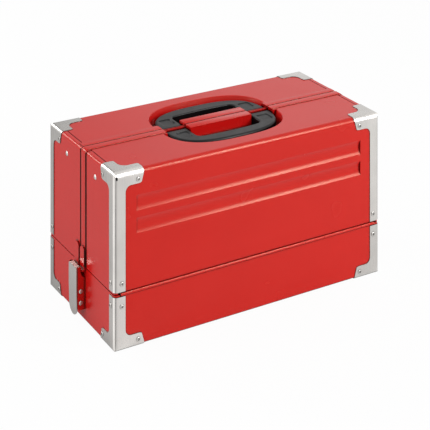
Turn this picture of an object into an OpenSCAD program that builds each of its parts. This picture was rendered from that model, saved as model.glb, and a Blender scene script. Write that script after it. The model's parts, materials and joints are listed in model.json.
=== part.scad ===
// Cantilever tool box: two lids open outwards and lift two trays on each side.
// Front is -Y, length runs along X, the box stands on Z = 0.

/* [Body] */
// Length over the end panels
body_l = 431.2; // [359:0.2:520]
// Depth over the front and rear panels
body_d = 209.6; // [174:0.2:252]
// Height of the sheet body, bottom to top panel
body_h = 232.2; // [193:0.2:280]
// Sheet thickness of the body
sheet = 1; // [0.8:0.1:1.2]
// Height of the split between base and lids
hinge_z = 74; // [62:0.5:89]
// Radius of the vertical corners
corner_r = 5; // [4:0.5:8]
// Radius of the bend between front and top
top_r = 7; // [5:0.5:9]
// Radius of the bend between end and top
end_r = 4; // [3:0.5:6]

/* [Lid grooves] */
// Distance of the groove ends from the box ends
groove_end = 32.6; // [30:0.1:90]
// Distance of the upper groove below the lid top
groove_down = 33.6; // [31:0.1:39]
// Distance from one groove to the next
groove_step = 30; // [26:1:44]
// Height of one groove
groove_h = 20.5; // [15:0.5:22]
// Depth of the grooves
groove_d = 3; // [1:0.25:3.5]

/* [Corner brackets] */
// Sheet thickness of the brackets
bracket_t = 0.9; // [0.6:0.1:1.2]
// Width of the vertical strips on the long sides
strip_long = 15.8; // [12:0.1:18]
// Width of the vertical strips on the ends
strip_end = 14.4; // [12:0.1:18]
// Reach of the legs along the long sides
leg_long = 43.5; // [38:0.5:46]
// Reach of the legs along the ends
leg_end = 40.5; // [38:0.5:44]
// Height and width of the legs
leg_w = 17.8; // [15:0.1:20]
// Radius of the inner fillets on the sides
fillet_r = 8.5; // [4:0.5:10]
// Radius of the inner fillets on the top and underside
fillet_top = 12; // [6:0.5:14]
// Radius of the rivet heads
rivet_r = 3; // [2:0.1:3.5]

/* [Seam strip] */
// Width of the frame strip on the ends of the front lid
seam_w = 15.1; // [14:0.1:17]
// Half of the gap between the lids
seam_gap = 0.9; // [0.7:0.05:1.1]
// Width of the joint beside the frame strip
joint_w = 2; // [1.6:0.1:2.4]
// Width of the joint lines of the end flanges
line_w = 1.2; // [1:0.1:1.4]
// Width of the raised strip beside the seam on each lid
rail_w = 12.3; // [10:0.1:14]
// Height of the raised strips
rail_h = 2.2; // [1.8:0.1:2.6]
// Length of the notches beside the recess
notch_l = 4; // [2:0.5:6]

/* [Handle recess] */
// Half length of the recess
recess_x = 94.5; // [79:0.5:113]
// Distance from the recess to the front of the lid
recess_rim = 27.5; // [23:0.1:33]
// Fullness of the corners of recess and handles, 2 is an ellipse
fullness = 2.8; // [2.6:0.1:3.2]
// Half length of the block between the handle legs
block_x = 51; // [42:0.5:56]
// Half width of the block and of the lands beside the legs
block_y = 16.4; // [14:0.1:18]

/* [Handles] */
// Gap between the handle legs and the recess
handle_side = 0.8; // [0.5:0.1:2]
// Gap between the grip and the edge of the recess floor
handle_front = 8; // [6:0.5:10]
// Depth of the handle below the lid top
handle_sunk = 2.5; // [1:0.1:4]
// Width of the grip bar
grip_w = 21; // [17:0.5:25]
// Thickness of the handle
handle_t = 12; // [10:0.2:14.4]
// Depth of the lips along the grip
lip_h = 2.4; // [1.5:0.1:3]
// Width of the lip at the outer edge, the inner one is twice as wide
lip_w = 3; // [2:0.1:3.5]
// Gap between the round ends of the legs and the seam line
pivot_gap = 2.5; // [2.25:0.25:3.5]

/* [Hinges] */
// Outer radius of the hinge knuckles
knuckle_r = 2.1; // [1.9:0.1:2.3]
// Radius of the hinge pin
hinge_pin_r = 1.15; // [1:0.05:1.2]
// Length of one knuckle
knuckle_l = 32.76; // [20:0.01:40]
// Shift of the knuckle pattern along the box
knuckle_shift = 3.2; // [-10:0.1:10]
// Distance of the hinge ends from the box ends
hinge_end = 8.6; // [7:0.1:60]

/* [Linkage] */
// Distance of the inner pins of the upper trays from the seam
tray_hang = 13.64; // [12:0.01:15]
// Distance of the lid rivet below the lid top
rivet_top = 24.1; // [21:0.1:29]
// Base stud, distance inward from the hinge line
stud_in = 30; // [26:0.5:32]
// Base stud, distance below the hinge line
stud_down = 12; // [11:0.5:14]
// Distance between the outer and inner arm
arm_pitch = 20; // [19:0.5:21]
// Share of the arm at which the upper tray hangs
upper_share = 0.7; // [0.68:0.01:0.71]
// Share of the arm at which the lower tray hangs
lower_share = 0.33; // [0.32:0.005:0.34]
// Half width of the arms
arm_r = 5.5; // [5:0.1:6]
// Radius of the linkage pins
pin_r = 2.5; // [2:0.1:3]
// Radial clearance of the running fits
fit = 0.05; // [0.03:0.01:0.1]

/* [Trays] */
// Space between the upper trays and the recess
head_space = 26.6; // [22:0.1:40]
// Space between the upper and lower trays
tray_space = 7.5; // [6:0.5:12]
// Sheet thickness of the trays
tray_t = 1; // [0.8:0.1:1.2]
// Number of dividers in an upper tray
dividers = 2; // [1:1:5]

/* [Latches] */
// Width over the latch bracket
latch_w = 28; // [24:0.5:30]
// Reach of the latch from the end panel
latch_out = 12.4; // [12:0.1:14]
// Height of the latch pivot
latch_pivot_z = 26.8; // [24:0.2:30]
// Width of one catch tongue
tongue_w = 14; // [10:0.5:14]

/* [Hidden] */
$fn = 64;
hx = body_l / 2;
hy = body_d / 2;
foot = bracket_t;
top_z = foot + body_h;
bottom_r = 2.5;
knuckle_gap = 0.7;
lid_low = hinge_z + knuckle_r + knuckle_gap;
base_high = hinge_z - knuckle_r - knuckle_gap;
end_gap = 0.6;
flange_x = hx - 9.4;
handle_lift = 1;
recess_z = top_z - handle_sunk - handle_t - handle_lift;
recess_y = hy - recess_rim;
taper = 4;
pin_land = 6.1;
pocket_end = recess_x - pin_land;
handle_x = pocket_end - handle_side;
handle_y = recess_y - taper - handle_front;
handle_pivot = handle_t / 2 + pivot_gap;
notch_x = recess_x + 23;
hinge_l = body_l - 2 * hinge_end;
groove_l = body_l - 2 * groove_end;
groove_r = (groove_h * groove_h / 4 + groove_d * groove_d) / (2 * groove_d);
field_l = body_l - 91.2;
field_d = body_d - 79.6;
pivot_z = recess_z + handle_lift + handle_t / 2;
stud_z = hinge_z - stud_down;
arm_up = top_z - hinge_z - rivet_top;
arm_in = (hy - stud_in - arm_pitch - tray_hang) / upper_share;
head_r = pin_r + 1.7;
tray_x = hx - 7.4;
arm_x = tray_x + 1.7;
arm_t = 1.4;
link_x = arm_x + arm_t + 0.5;
link_t = 1.2;
upper_pin_z = stud_z + upper_share * arm_up;
lower_pin_z = stud_z + lower_share * arm_up;
upper_z = upper_pin_z - 10;
lower_z = lower_pin_z - 6.55;
upper_out = 12;
lower_out = 16;
upper_h = recess_z - sheet - head_space - upper_z;
lower_h = upper_z - tray_space - lower_z;
tray_gap = 2.2;
cheek_t = 1.2;
lever_gap = 0.4;
ledge_u = 5.9;
latch_low = latch_pivot_z - 9.8;
latch_top = hinge_z + 1;
pin_y = -hy + stud_in;

// ---- helpers ----

// Box between two corners
module box(a, b) {
    translate(a) cube(b - a);
}

// Rod along X
module rod(x0, x1, y, z, r) {
    translate([x0, y, z]) rotate([0, 90, 0]) cylinder(h = x1 - x0, r = r);
}

// Drawing in Y and Z, extruded along X
module along_x(x0, x1) {
    translate([x0, 0, 0]) rotate([90, 0, 90]) linear_extrude(x1 - x0) children();
}

// Drawing in X and Z, extruded along Y
module along_y(y0, y1) {
    translate([0, y1, 0]) rotate([90, 0, 0]) linear_extrude(y1 - y0) children();
}

// The rear half is the mirrored front half
module rear() {
    mirror([0, 1, 0]) children();
}

// The right end is the mirrored left end
module right() {
    mirror([1, 0, 0]) children();
}

module both_ends() {
    children();
    right() children();
}

// Puts a part of the +X +Y corner at another corner
module at_corner(sx, sy) {
    mirror([sx < 0 ? 1 : 0, 0, 0]) mirror([0, sy < 0 ? 1 : 0, 0]) children();
}

module round_rect(x, y, r) {
    square([x, y - 2 * r], center = true);
    square([x - 2 * r, y], center = true);
    for (sx = [-1, 1], sy = [-1, 1])
        translate([sx * (x / 2 - r), sy * (y / 2 - r)]) circle(r = r);
}

// Oval with full corners
module oval(x, y) {
    polygon([for (a = [0:3:357])
        [x * sign(cos(a)) * pow(abs(cos(a)), 2 / fullness),
            y * sign(sin(a)) * pow(abs(sin(a)), 2 / fullness)]]);
}

// Rectangle with the corner at (x0, y0) rounded
module soft_corner(x0, y0, x1, y1, r) {
    translate([x0, y0 + r]) square([x1 - x0, y1 - y0 - r]);
    translate([x0 + r, y0]) square([x1 - x0 - r, y1 - y0]);
    translate([x0 + r, y0 + r]) circle(r = r);
}

// Upright section with round top and bottom corners, bottom edge on Z = z0
module section(half, z0, z1, rt, rb) {
    translate([-half, z0 + rb]) square([2 * half, z1 - z0 - rt - rb]);
    translate([-half + rt, z0 + rb]) square([2 * (half - rt), z1 - z0 - rb]);
    translate([-half + rb, z0]) square([2 * (half - rb), z1 - z0 - rt]);
    for (s = [-1, 1]) {
        translate([s * (half - rt), z1 - rt]) circle(r = rt);
        translate([s * (half - rb), z0 + rb]) circle(r = rb);
    }
}

// Flat strap with round ends between two points
module strap(p, q, r) {
    translate(p) circle(r = r);
    translate(q) circle(r = r);
    translate(p) rotate(atan2(q[1] - p[1], q[0] - p[0])) translate([0, -r + 0.05])
        square([norm(q - p), 2 * r - 0.1]);
}

// ---- body form ----

// Outer form of the closed body, grown by o
module form(o) {
    intersection() {
        translate([0, 0, foot - o]) linear_extrude(body_h + 2 * o)
            round_rect(body_l + 2 * o, body_d + 2 * o, corner_r + o);
        along_x(-hx - 5, hx + 5) section(hy + o, foot - o, top_z + o, top_r + o, bottom_r + o);
        along_y(-hy - 5, hy + 5) section(hx + o, foot - o, top_z + o, end_r + o, bottom_r + o);
    }
}

module body_sheet() {
    difference() {
        form(0);
        form(-sheet);
    }
}

// ---- base ----

module base_pan() {
    color("firebrick") difference() {
        union() {
            intersection() {
                body_sheet();
                box([-hx - 1, -hy - 1, 0], [hx + 1, hy + 1, hinge_z - end_gap]);
            }
            linear_extrude(foot + sheet) round_rect(field_l, field_d, 14);
        }
        translate([0, 0, sheet]) linear_extrude(foot + sheet)
            round_rect(field_l - 2 * sheet, field_d - 2 * sheet, 13);
        for (s = [-1, 1])
            translate([0, s * (hy - 1), base_high + 5])
                cube([hinge_l + 1, 4.2, 10], center = true);
    }
}

// One leg of a bracket in side view, its free end at u0, edge at w0, outer edge at w1
module leg_side(u0, u1, w0, w1) {
    intersection() {
        polygon([[u0, w1], [u0, w1 - 5], [u0 + 4, w0], [u1, w0], [u1, w1]]);
        soft_corner(u0, w0, u1, w1, 8);
    }
}

// Volume that selects a lid bracket, for the corner at +X +Y
module lid_bracket_zone() {
    low = top_z - leg_w;
    box([hx - strip_long, hy - strip_end, hinge_z + 3.2], [hx + 2, hy + 2, top_z + 2]);
    intersection() {
        along_y(hy - leg_w, hy + 2) leg_side(hx - leg_long, hx + 2, low, top_z + 2);
        translate([0, 0, low - 1]) linear_extrude(leg_w + 4)
            soft_corner(hx - leg_long, hy - leg_w, hx + 2, hy + 2, 3);
    }
    intersection() {
        along_x(hx - leg_w, hx + 2) leg_side(hy - leg_end, hy + 2, low, top_z + 2);
        translate([0, 0, low - 1]) linear_extrude(leg_w + 4)
            soft_corner(hx - leg_w, hy - leg_end, hx + 2, hy + 2, 3);
    }
    along_y(hy - 3, hy + 2) fillet([hx - strip_long, low], [-1, -1], fillet_r);
    along_x(hx - 3, hx + 2) fillet([hy - strip_end, low], [-1, -1], fillet_r);
    translate([0, 0, top_z - 3]) linear_extrude(5)
        fillet([hx - leg_w, hy - leg_w], [-1, -1], fillet_top);
}

// The same for the base, drawn upside down about the height of the leg
module base_bracket_zone() {
    high = foot + leg_w - 1.6;
    box([hx - strip_long, hy - strip_end, -2], [hx + 2, hy + 2, hinge_z - 3.2]);
    intersection() {
        along_y(hy - leg_w, hy + 2) mirror([0, 1, 0]) leg_side(hx - leg_long, hx + 2, -high, 2);
        translate([0, 0, -3]) linear_extrude(high + 4)
            soft_corner(hx - leg_long, hy - leg_w, hx + 2, hy + 2, 3);
    }
    intersection() {
        along_x(hx - leg_w, hx + 2) mirror([0, 1, 0]) leg_side(hy - leg_end, hy + 2, -high, 2);
        translate([0, 0, -3]) linear_extrude(high + 4)
            soft_corner(hx - leg_w, hy - leg_end, hx + 2, hy + 2, 3);
    }
    along_y(hy - 3, hy + 2) fillet([hx - strip_long, high], [-1, 1], fillet_r);
    along_x(hx - 3, hx + 2) fillet([hy - strip_end, high], [-1, 1], fillet_r);
    translate([0, 0, -2]) linear_extrude(5)
        fillet([hx - leg_w, hy - leg_w], [-1, -1], fillet_top);
}

// Filled inner corner at point p, opening towards d
module fillet(p, d, r) {
    difference() {
        translate([min(p[0], p[0] + d[0] * r), min(p[1], p[1] + d[1] * r)]) square(r);
        translate([p[0] + d[0] * r, p[1] + d[1] * r]) circle(r = r);
    }
}

module bracket_skin() {
    difference() {
        form(bracket_t);
        form(0);
    }
}

module base_corner(sx, sy) {
    color("silver") at_corner(sx, sy) intersection() {
        bracket_skin();
        base_bracket_zone();
    }
}

// Rivet head on the long side (+Y) or on the end (+X)
module head_long(x, z) {
    translate([x, hy + bracket_t, z]) rotate([-90, 0, 0])
        cylinder(h = 1.1, r1 = rivet_r, r2 = rivet_r * 0.6);
}

module head_end(y, z) {
    translate([hx + bracket_t, y, z]) rotate([0, 90, 0])
        cylinder(h = 1.1, r1 = rivet_r, r2 = rivet_r * 0.6);
}

module base_rivets() {
    color("gainsboro") for (sx = [-1, 1], sy = [-1, 1]) at_corner(sx, sy) {
        head_long(hx - 10.4, hinge_z - 15.9);
        head_long(hx - 34.6, foot + 8.1);
        head_end(hy - 9.8, hinge_z - 15.9);
        head_end(hy - 35, foot + 8.1);
    }
}

// ---- hinges ----

// Knuckles of one parity along the front hinge line, joined to a leaf by tails
module knuckles(parity, up) {
    for (k = [-7:7]) {
        x0 = max(-hinge_l / 2, knuckle_shift + (k - 0.5) * knuckle_l) + 0.2;
        x1 = min(hinge_l / 2, knuckle_shift + (k + 0.5) * knuckle_l) - 0.2;
        if (abs(k) % 2 == parity && x1 - x0 > 3) difference() {
            union() {
                rod(x0, x1, -hy, hinge_z, knuckle_r);
                box([x0, -hy + sheet, min(hinge_z, hinge_z + up * 4)],
                    [x1, -hy + 2 * sheet, max(hinge_z, hinge_z + up * 4)]);
            }
            rod(x0 - 1, x1 + 1, -hy, hinge_z, hinge_pin_r + fit);
        }
    }
}

module hinge_leaf(parity, up) {
    near = hinge_z + up * (knuckle_r + knuckle_gap);
    far = hinge_z + up * 18;
    knuckles(parity, up);
    box([-hinge_l / 2 + 0.2, -hy + sheet, min(near, far)],
        [hinge_l / 2 - 0.2, -hy + 2 * sheet, max(near, far)]);
}

module base_hinge_leaves() {
    color("firebrick") {
        hinge_leaf(0, -1);
        rear() hinge_leaf(0, -1);
    }
}

module hinge_pins() {
    color("gray") {
        rod(-hinge_l / 2, hinge_l / 2, -hy, hinge_z, hinge_pin_r);
        rear() rod(-hinge_l / 2, hinge_l / 2, -hy, hinge_z, hinge_pin_r);
    }
}

// ---- lids (front half, the rear one is mirrored) ----

function groove_z(i) = top_z - groove_down - groove_h - i * groove_step;

// Section of one groove, a hollow of circular form; grown by o
module groove_cut(z, o) {
    translate([-hy + groove_d - groove_r, z + groove_h / 2]) circle(r = groove_r + o, $fn = 128);
}

// Tapered pocket for the handles, grown by o, with an edge broken at the top
module pocket(o, z0, edge) {
    hull() {
        translate([0, 0, z0]) linear_extrude(0.01)
            oval(recess_x - taper + o, recess_y - taper + o);
        translate([0, 0, top_z]) linear_extrude(2) oval(recess_x + o, recess_y + o);
    }
    if (edge > 0) hull() {
        translate([0, 0, top_z - edge]) linear_extrude(0.01) oval(recess_x, recess_y);
        translate([0, 0, top_z]) linear_extrude(1) oval(recess_x + edge, recess_y + edge);
    }
}

module lid_shell() {
    color("firebrick") difference() {
        union() {
            intersection() {
                body_sheet();
                union() {
                    box([-flange_x, -hy - 1, lid_low], [flange_x, -seam_gap - sheet, top_z + 1]);
                    box([-hx + corner_r, -hy - 1, lid_low], [hx - corner_r, -hy + sheet, top_z - 12]);
                }
            }
            // step under the end flanges, with a channel under the joint line
            for (s = [-1, 1]) difference() {
                box([min(s * (flange_x - 2), s * (hx - end_r)), -hy + 9, top_z - 3 * sheet],
                    [max(s * (flange_x - 2), s * (hx - end_r)), -seam_gap - seam_w - joint_w,
                        top_z - sheet]);
                box([min(s * flange_x, s * (flange_x + line_w)), -hy + 12, top_z - 2 * sheet],
                    [max(s * flange_x, s * (flange_x + line_w)), 0, top_z]);
            }
            for (i = [0, 1])
                along_x(-groove_l / 2 - 1, groove_l / 2 + 1) intersection() {
                    groove_cut(groove_z(i), sheet);
                    translate([-hy + sheet / 2, groove_z(i) - 2])
                        square([groove_d + 2, groove_h + 4]);
                }
            intersection() {
                pocket(sheet, recess_z - sheet, 0);
                box([-130, -hy + 2, recess_z - sheet], [130, -seam_gap - sheet, top_z - sheet / 2]);
            }
        }
        for (i = [0, 1])
            along_x(-groove_l / 2, groove_l / 2) groove_cut(groove_z(i), 0);
        difference() {
            pocket(0, recess_z, 0.8);
            for (s = [-1, 1])
                translate([s * (pocket_end + 20), 0, recess_z])
                    cube([40, 2 * block_y, 60], center = true);
            box([-block_x, -block_y, recess_z - 1], [block_x, 1, top_z]);
        }
        box([-block_x + sheet, -block_y + sheet, recess_z - 5],
            [block_x - sheet, 1, top_z - sheet]);
        rod(-recess_x, recess_x, -handle_pivot, pivot_z, pin_r + fit);
    }
}

// Left end panel of the front lid with its flange on the top
module lid_end(y_seam) {
    color("firebrick") difference() {
        intersection() {
            body_sheet();
            box([-hx - 1, -hy - 1, hinge_z + end_gap], [-flange_x - line_w, y_seam, top_z + 1]);
        }
        box([-hx + corner_r - 0.1, -hy - 1, hinge_z - 1], [0, -hy + 1.5, top_z - 11.9]);
        rod(-hx - 2, -hx + 3, -hy + arm_in, hinge_z + arm_up, pin_r + fit);
    }
}

// Raised strip beside the seam, with a flange turned in at the seam
module top_strip(half, cut_l) {
    y0 = -seam_gap - rail_w;
    difference() {
        union() {
            box([-half, y0, top_z], [half, -seam_gap, top_z + rail_h]);
            box([-flange_x, -seam_gap - sheet, top_z - 9], [flange_x, -seam_gap, top_z + rail_h]);
            box([-recess_x, -seam_gap - sheet, recess_z - sheet],
                [recess_x, -seam_gap, top_z]);
        }
        box([-pocket_end, y0 - 1, top_z - 1.2], [pocket_end, 1, top_z + rail_h + 1]);
        for (s = [-1, 1])
            if (cut_l > 0)
                translate([s * notch_x, y0, top_z]) cube([cut_l, 2.4, 2 * rail_h + 2], center = true);
    }
    // cover plate of the block between the handle legs
    box([-block_x, -block_y, top_z], [block_x, -seam_gap, top_z + sheet]);
    box([-block_x, -seam_gap - sheet, top_z - 2], [block_x, -seam_gap, top_z + sheet]);
}

// Part of the frame strip that runs over the bend and down both ends
module frame_band(ya, yb, x_in, high, r_out) {
    low = hinge_z + end_gap + 0.6;
    along_y(ya, yb) difference() {
        section(hx + 0.3, low - 20, high, r_out, 1);
        section(hx - sheet, low - 30, top_z - 0.7, end_r - 0.7, 1);
        translate([-x_in, low - 30]) square([2 * x_in, 400]);
        translate([-hx - 5, low - 40]) square([2 * hx + 10, 40]);
    }
}

// The front strip also runs down both ends
module front_frame() {
    y0 = -seam_gap - seam_w;
    y1 = -seam_gap - rail_w;
    low = hinge_z + end_gap + 0.6;
    top_strip(hx - 8.8, notch_l);
    frame_band(y1, -seam_gap, hx - 9, top_z + rail_h, end_r + 1);
    frame_band(y0, y1, flange_x + line_w, top_z + 0.3, end_r + 0.3);
    both_ends() {
        box([-hx + sheet, y0 - joint_w - 5, hinge_z + 8], [-hx + sheet + 1.2, y0 + 3, hinge_z + 24]);
        box([-hx + 0.5, -seam_gap - sheet, low], [-hx + 4.7, -seam_gap, top_z - 8]);
    }
}

module lid_corner(sx, sy, hole) {
    color("silver") at_corner(sx, sy) difference() {
        intersection() {
            bracket_skin();
            lid_bracket_zone();
        }
        if (hole) translate([hx - 3.2, hy + 2, top_z - 6]) rotate([90, 0, 0])
            linear_extrude(5) {
                translate([0, 1.4]) circle(r = 1.1);
                translate([0, -1.4]) circle(r = 1.1);
                square([2.2, 2.8], center = true);
            }
    }
}

module lid_rivets() {
    color("gainsboro") {
        for (sx = [-1, 1]) at_corner(sx, -1) {
            head_long(hx - 10.4, hinge_z + 13.9);
            head_long(hx - 34.6, top_z - 12.1);
            head_end(hy - 9.8, hinge_z + 13.9);
            head_end(hy - 34.5, top_z - 11);
        }
    }
}

// Catch tongue on the left end; x0 is the face it lies on
module tongue(x0) {
    y0 = -seam_gap - 1.1 - tongue_w;
    x_out = hx + 2.3;
    r = tongue_w / 2;
    color("firebrick") difference() {
        union() {
            along_x(-x_out, -x0) {
                translate([y0, hinge_z - 4]) square([tongue_w, 31.5 - r]);
                translate([y0 + r, hinge_z + 27.5 - r]) circle(r = r);
            }
            box([-hx - ledge_u, y0, hinge_z - 4], [-x_out, y0 + tongue_w, hinge_z - 2]);
        }
        box([-hx - 0.3, y0 - 1, hinge_z - 5], [-hx + 5, y0 + tongue_w + 1, hinge_z + 1.5]);
    }
}

module handle_pins() {
    color("gray") both_ends() rod(-recess_x + 0.5, -block_x + sheet, -handle_pivot, pivot_z, pin_r);
}

// Lid rivet that carries the link, on the left end
module link_rivet() {
    y = -hy + arm_in;
    z = hinge_z + arm_up;
    translate([-hx, y, z]) rotate([0, -90, 0]) cylinder(h = 1.3, r1 = 3.5, r2 = 2.4);
    rod(-hx, -link_x + 0.9, y, z, pin_r);
    rod(-hx + sheet, -link_x - link_t - 0.2, y, z, head_r);
    rod(-link_x + 0.2, -link_x + 0.9, y, z, head_r);
}

// ---- handles ----

// Plan of a handle, drawn in by lip outside and by twice that at the opening
module handle_plan(lip) {
    big = 450;
    difference() {
        oval(handle_x - lip, handle_y - lip);
        intersection() {
            round_rect(2 * (block_x + 1.5 + lip), 2 * (handle_y - grip_w + 2 * lip), 9);
            translate([0, big - handle_y + grip_w - 2 * lip]) circle(r = big, $fn = 360);
        }
    }
}

module handle() {
    z0 = pivot_z - handle_t / 2;
    color("dimgray") difference() {
        intersection() {
            translate([0, 0, z0]) union() {
                linear_extrude(handle_t - lip_h) handle_plan(0);
                linear_extrude(handle_t) handle_plan(lip_w);
            }
            along_x(-handle_x - 1, handle_x + 1) {
                translate([-handle_pivot, pivot_z]) circle(r = handle_t / 2);
                translate([-handle_y - 2, z0]) square([handle_y + 2 - handle_pivot, handle_t]);
            }
        }
        both_ends() {
            rod(-handle_x - 1, -block_x, -handle_pivot, pivot_z, pin_r + fit);
            translate([-(block_x + handle_x) / 2 + 2.3, -26, pivot_z + handle_t / 2 - 0.8])
                linear_extrude(2) round_rect(18, 20, 4);
        }
    }
}

// ---- trays and linkage (front half) ----

module tray(out, z0, h) {
    w = hy - out - tray_gap;
    y = -hy + out + w / 2;
    difference() {
        translate([0, y, z0]) linear_extrude(h) round_rect(2 * tray_x, w, 4);
        translate([0, y, z0 + tray_t]) linear_extrude(h)
            round_rect(2 * (tray_x - tray_t), w - 2 * tray_t, 3);
    }
    // hem along the rim
    translate([0, y, z0 + h - 4]) linear_extrude(4) difference() {
        round_rect(2 * tray_x - tray_t, w - tray_t, 3.5);
        round_rect(2 * (tray_x - 2 * tray_t), w - 4 * tray_t, 2);
    }
}

// Tray with the holes for its pins at share s of the arm
module hung_tray(out, z0, h, s) {
    difference() {
        tray(out, z0, h);
        for (d = [0, arm_pitch])
            rod(-tray_x - 2, tray_x + 2, pin_y + d + s * arm_in, stud_z + s * arm_up, pin_r + fit);
    }
}

// Pins of one tray on both arms, at both ends
module tray_pins(s) {
    z = stud_z + s * arm_up;
    both_ends() for (d = [0, arm_pitch]) {
        y = pin_y + d + s * arm_in;
        rod(-arm_x - arm_t - 1.1, -tray_x + tray_t + 0.9, y, z, pin_r);
        rod(-tray_x + tray_t, -tray_x + tray_t + 0.9, y, z, head_r);
        rod(-arm_x + 0.2, -tray_x, y, z, head_r);
        rod(-arm_x - arm_t - 1.1, -arm_x - arm_t - 0.2, y, z, head_r);
    }
}

module tray_dividers() {
    w = hy - upper_out - tray_gap - 2 * tray_t;
    y = -hy + upper_out + tray_t + w / 2;
    for (i = [1:dividers])
        translate([-tray_x + i * 2 * tray_x / (dividers + 1), y, upper_z + tray_t]) {
            translate([-0.5, -w / 2, 0]) cube([1, w, upper_h - 12]);
            translate([-0.5, -w / 2, 0]) cube([9, w, 0.8]);
        }
}

// Arm plate at the left end, from share a to share b, with bores at the listed shares
module arm(d, length, holes) {
    p = [pin_y + d, stud_z];
    along_x(-arm_x - arm_t, -arm_x) difference() {
        strap(p, p + length * [arm_in, arm_up], arm_r);
        for (s = holes)
            translate(p + s * [arm_in, arm_up]) circle(r = pin_r + fit);
    }
}

module outer_arms() {
    color("gray") both_ends() arm(0, 1, [0, lower_share, upper_share, 1]);
}

module inner_arms() {
    color("gray") both_ends() arm(arm_pitch, upper_share, [0, lower_share, upper_share]);
}

module link() {
    q = [-hy + arm_in, hinge_z + arm_up];
    s = [pin_y + arm_in, stud_z + arm_up];
    along_x(-link_x - link_t, -link_x) difference() {
        strap(q, s, arm_r);
        translate(q) circle(r = pin_r + fit);
    }
    rod(-link_x, -arm_x + 1.1, s[0], s[1], pin_r);
    rod(-arm_x + 0.2, -arm_x + 1.1, s[0], s[1], head_r);
    rod(-link_x, -arm_x - arm_t - 0.2, s[0], s[1], head_r);
}

module studs() {
    both_ends() for (d = [0, arm_pitch]) {
        rod(-hx + sheet, -hx + sheet + 1.2, pin_y + d, stud_z, 6);
        rod(-hx + sheet, -arm_x - arm_t - 0.2, pin_y + d, stud_z, head_r);
        rod(-hx + sheet, -arm_x + 1.1, pin_y + d, stud_z, pin_r);
        rod(-arm_x + 0.2, -arm_x + 1.1, pin_y + d, stud_z, head_r);
    }
}

module base_studs() {
    color("gray") {
        studs();
        rear() studs();
    }
}

// ---- latch on the right end, u runs outwards from the end panel ----

module cheek_profile() {
    difference() {
        square([latch_out - 1.6, latch_top + 0.5 - latch_low]);
        translate([-4.5, latch_top - 5 - latch_low]) circle(r = 11.1);
        translate([-5, latch_top - 5 - latch_low]) square([11.6, 10]);
        translate([latch_out - 1.6, 0]) rotate(45) square(3, center = true);
    }
}

module latch_bracket() {
    color("firebrick") translate([hx, 0, latch_low]) {
        box([0, -latch_w / 2, 0], [1.2, latch_w / 2, 40]);
        for (y = [-latch_w / 2, latch_w / 2 - cheek_t])
            difference() {
                along_y(y, y + cheek_t) cheek_profile();
                translate([6, y - 1, latch_pivot_z - latch_low]) rotate([-90, 0, 0])
                    cylinder(h = 4, r = 2 + fit);
            }
    }
}

module latch_pin_set() {
    r = 2;
    translate([hx + 6, 0, latch_pivot_z]) rotate([90, 0, 0]) {
        translate([0, 0, -latch_w / 2 - 0.9]) cylinder(h = latch_w + 1.8, r = r);
        for (s = [-1, 1])
            translate([0, 0, s * (latch_w / 2 + 0.5)]) cylinder(h = 1, r = 3.2, center = true);
    }
    for (s = [-1, 1])
        translate([hx + 6, s * (latch_w / 2 + 0.5), latch_pivot_z + 15.7]) rotate([90, 0, 0])
            cylinder(h = 1, r = 3.2, center = true);
}

module latch_pins() {
    color("gainsboro") {
        latch_pin_set();
        right() latch_pin_set();
    }
}

// Push lever: hook at the top, thumb tab at the bottom
module latch_lever() {
    top = latch_top;
    low = latch_pivot_z;
    half = latch_w / 2 - cheek_t - lever_gap;
    out = latch_out;
    inner = out - cheek_t;
    color("silver") translate([hx, 0, 0]) difference() {
        union() {
            // face plate with a crease at mid height and a round thumb tab
            intersection() {
                along_y(-20, 20)
                    polygon([[inner, top], [out, top], [out, top - 27], [out - 0.9, low - 20],
                        [inner - 0.9, low - 20], [inner, top - 27]]);
                along_x(0, 30) {
                    translate([-half - 0.1, low - 6.8]) square([2 * half + 0.2, top - low + 4.8]);
                    translate([-half + 1.9, low]) square([2 * half - 3.8, top - low]);
                    for (s = [-1, 1])
                        translate([s * (half - 1.9), top - 2]) circle(r = 2);
                    translate([0, low - 6.8]) circle(r = half + 0.1);
                }
            }
            // hook over the tongue ledge
            box([ledge_u + 0.5, -half + 1.5, top - 1.4], [inner + 0.2, half - 1.5, top]);
            for (y = [-half, half - cheek_t]) along_y(y, y + cheek_t) {
                translate([6, low]) circle(r = 4.2);
                polygon([[6, low - 4], [inner, low - 4.8], [inner, top - 2.2],
                    [ledge_u + 1.2, top - 2.2], [ledge_u + 1.2, top - 13], [4.4, low + 11.2],
                    [1.9, low + 1]]);
            }
        }
        translate([6, 20, low]) rotate([90, 0, 0]) cylinder(h = 40, r = 2 + fit);
    }
}

// ---- wrappers of one sub-part each ----

module front_end() {
    color("firebrick") lid_end(-seam_gap - seam_w - joint_w);
}

module rear_end() {
    color("firebrick") lid_end(-seam_gap);
}

module rear_frame() {
    color("firebrick") rear() top_strip(hx - 4, 0);
}

module lid_hinge_leaf() {
    color("firebrick") hinge_leaf(1, 1);
}

module front_catches() {
    color("firebrick") both_ends() tongue(hx + 0.3);
}

module rear_catches() {
    color("firebrick") rear() both_ends() tongue(hx);
}

module link_rivets() {
    color("gainsboro") both_ends() link_rivet();
}

module upper_tray() {
    color("firebrick") hung_tray(upper_out, upper_z, upper_h, upper_share);
}

module lower_tray() {
    color("firebrick") hung_tray(lower_out, lower_z, lower_h, lower_share);
}

module upper_tray_pins() {
    color("gainsboro") tray_pins(upper_share);
}

module lower_tray_pins() {
    color("gainsboro") tray_pins(lower_share);
}

module links() {
    color("gray") both_ends() link();
}

// ---- nodes ----

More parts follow.
